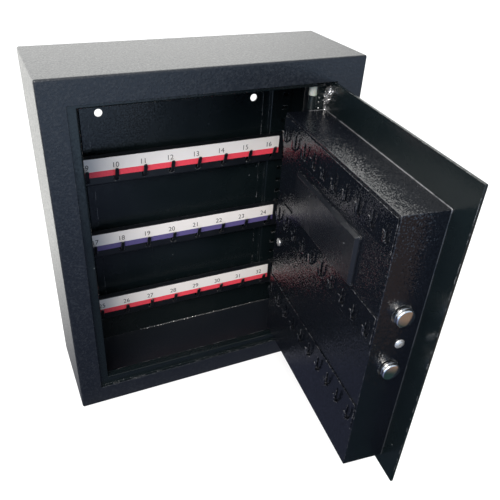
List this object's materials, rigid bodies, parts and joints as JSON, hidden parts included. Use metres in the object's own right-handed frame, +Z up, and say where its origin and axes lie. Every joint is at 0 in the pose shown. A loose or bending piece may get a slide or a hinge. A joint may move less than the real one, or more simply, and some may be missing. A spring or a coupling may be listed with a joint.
{
  "type": "wall-mounted key cabinet",
  "caption": "Steel key cabinet with an inset door that stands open, hook rails and label strips inside, hooks on the door, two lock bolts, a knob and a key lock.",
  "frame": {"origin": "middle of the wall face, half way up and half way across the back panel's outside", "axes": "+X to the right of a person who faces the door opening, +Y out of the back into the wall, -Y out of the front, +Z up; the door stands open at 84 degrees at rest"},
  "size_m": [0.38, 0.4042, 0.45],
  "materials": {
    "body_paint": "dark blue-grey powder coat, fine speckled grain outside, smoother inside",
    "door_paint": "near-black gloss enamel with slight orange peel",
    "rail_paint": "dark satin enamel, worn along the edges",
    "label_card": "cream printed label strip with a coloured lower band and plain numbers",
    "chrome": "polished chrome plate",
    "zinc_plate": "zinc-plated steel",
    "nylon": "off-white nylon"
  },
  "bodies": {
    "cabinet": {"body_shell": "body_paint", "back_panel": "body_paint", "door_stop_frame": "body_paint", "left_upright": "rail_paint", "right_upright": "rail_paint", "upper_pivot_lug": "body_paint", "lower_pivot_lug": "body_paint", "key_rail_top": "rail_paint", "key_rail_middle": "rail_paint", "key_rail_bottom": "rail_paint", "label_strip_top": "label_card", "label_strip_middle": "label_card", "label_strip_bottom": "label_card"},
    "door": {"door_plate": "body_paint", "door_pan": "door_paint", "lock_cover": "body_paint", "hook_strip_top": "door_paint", "hook_strip_middle": "door_paint", "hook_strip_bottom": "door_paint", "upper_hinge_arm": "body_paint", "lower_hinge_arm": "body_paint", "upper_hinge_pin": "zinc_plate", "lower_hinge_pin": "zinc_plate", "upper_hinge_sleeve": "nylon", "lower_hinge_sleeve": "nylon", "face_screw": "chrome", "side_screw": "chrome", "upper_bolt_bush": "zinc_plate", "lower_bolt_bush": "zinc_plate", "upper_guide_stud": "zinc_plate", "lower_guide_stud": "zinc_plate", "knob_rose": "chrome", "key_escutcheon": "chrome", "lock_case": "zinc_plate", "lock_case_lid": "zinc_plate"},
    "bolts": {"bolt_carrier": "zinc_plate", "upper_bolt": "chrome", "lower_bolt": "chrome"},
    "knob": {"knob": "chrome", "knob_spindle": "zinc_plate", "drive_cam": "zinc_plate"},
    "key": {"key_plug": "chrome"},
    "tongue": {"lock_tongue": "zinc_plate"}
  },
  "joints": [
    {"name": "door_swing", "type": "hinge", "parent": "cabinet", "child": "door", "pos_m": [0.1336, -0.1091, 0], "axis": [0, 0, 1], "range_deg": [-84, 2]},
    {"name": "knob_turn", "type": "hinge", "parent": "door", "child": "knob", "pos_m": [0.12295, -0.31471, 0.009], "axis": [0.9945, -0.1045, 0], "range_deg": [0, 70]},
    {"name": "bolt_throw", "type": "slide", "parent": "door", "child": "bolts", "axis": [-0.1045, -0.9945, 0], "range_m": [0, 0.0138]},
    {"name": "key_turn", "type": "hinge", "parent": "door", "child": "key", "pos_m": [0.131, -0.23814, 0.076], "axis": [0.9945, -0.1045, 0], "range_deg": [0, 90]},
    {"name": "tongue_throw", "type": "slide", "parent": "door", "child": "tongue", "axis": [0, 0, -1], "range_m": [0, 0.01]}
  ],
  "couplings": [
    {"joint": "knob_turn", "follows": "bolt_throw", "rad_per_m": 88.531},
    {"joint": "tongue_throw", "follows": "key_turn", "m_per_rad": 0.0063662}
  ]
}
